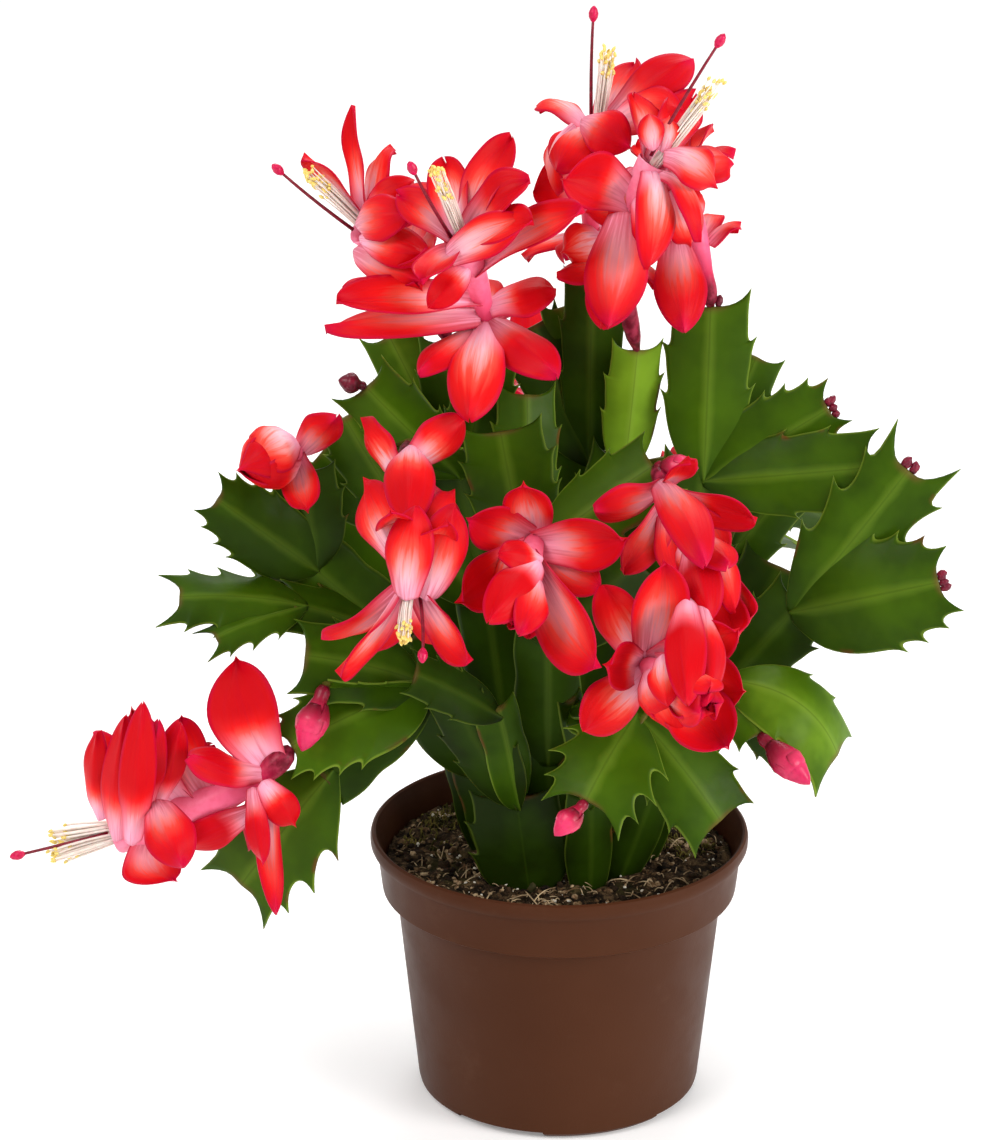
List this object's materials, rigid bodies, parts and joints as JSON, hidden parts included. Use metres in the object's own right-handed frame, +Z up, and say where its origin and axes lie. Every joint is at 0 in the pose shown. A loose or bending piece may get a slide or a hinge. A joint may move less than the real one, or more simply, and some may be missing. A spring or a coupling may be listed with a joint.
{
  "type": "potted christmas cactus",
  "caption": "Christmas cactus in full red bloom with toothed flat leafy stems, standing in a round plastic nursery pot filled with dark potting soil.",
  "frame": {"origin": "centre of the pot's underside, on the face it stands on", "axes": "+Z up, -Y towards the viewer of the picture, +X to the viewer's right"},
  "size_m": [0.2887, 0.2599, 0.3504],
  "materials": {
    "pot": "satin brown moulded plastic",
    "soil": null,
    "stem": null,
    "petal": "satin red petals with pale pink centres; paper stands in for their density",
    "pistil": "dark red style and stigma",
    "stamen": "white filaments with yellow anthers",
    "bud": "satin magenta buds"
  },
  "bodies": {
    "root": {"pot": "pot", "soil": "soil", "stem_centre": "stem", "stem_front_centre": "stem", "stem_left_top": "stem", "stem_left": "stem", "stem_left_low": "stem", "stem_left_centre": "stem", "stem_front": "stem", "stem_right_top": "stem", "stem_right_low": "stem", "stem_right_front": "stem", "stem_back_right": "stem", "stem_back": "stem", "stem_back_left": "stem", "bloom_top_left": "petal", "bloom_top_right": "petal", "bloom_far_right": "petal", "bloom_left": "petal", "bloom_front_left": "petal", "bloom_front_centre": "petal", "bloom_front_right": "petal", "bloom_front_low": "petal", "bloom_low_left": "petal", "bloom_back": "petal", "bloom_back_left": "petal", "bloom_back_right": "petal", "pistil_1": "pistil", "stamens_1": "stamen", "pistil_2": "pistil", "stamens_2": "stamen", "pistil_3": "pistil", "stamens_3": "stamen", "pistil_4": "pistil", "stamens_4": "stamen", "pistil_7": "pistil", "stamens_7": "stamen", "pistil_11": "pistil", "stamens_11": "stamen", "pistil_12": "pistil", "stamens_12": "stamen", "pistil_13": "pistil", "stamens_13": "stamen", "bud_left_top": "bud", "bud_left_low": "bud", "bud_front_low": "bud", "bud_right_low": "bud"}
  },
  "joints": []
}
